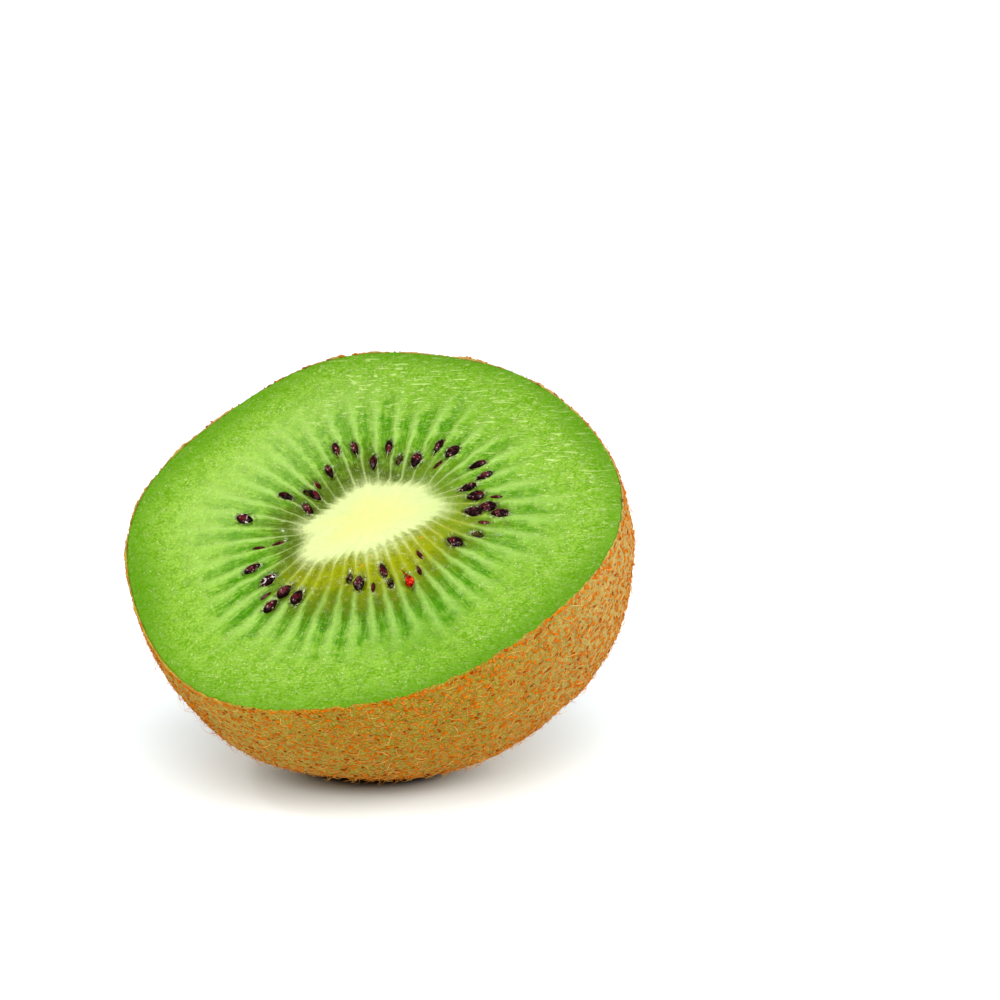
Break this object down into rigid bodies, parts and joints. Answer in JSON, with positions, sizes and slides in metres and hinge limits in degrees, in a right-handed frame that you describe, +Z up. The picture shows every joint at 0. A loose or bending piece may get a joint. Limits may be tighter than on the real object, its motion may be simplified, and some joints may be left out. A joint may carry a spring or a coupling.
{
  "type": "kiwi fruit half",
  "caption": "Half of a round green kiwi fruit, cut across its middle, with a pale core, dark seeds in the cut and a thin brown hairy rind, resting tipped forward.",
  "frame": {"origin": "centre of the small flat foot under the rounded side, on the surface that the half rests on", "axes": "+Z up; the cut faces up and towards -Y, tipped 38 degrees out of the level; +X to the right as seen from -Y"},
  "size_m": [0.0558, 0.0482, 0.0452],
  "materials": {
    "flesh": "moist green fruit flesh, finely streaked",
    "core": "moist pale cream-yellow fruit core",
    "rind": "dry olive-tan skin with rust-brown tufts",
    "seed": "shiny wet maroon-black",
    "fuzz": "fine dry orange-brown hair"
  },
  "bodies": {
    "root": {"flesh": "flesh", "core": "core"}
  },
  "joints": []
}
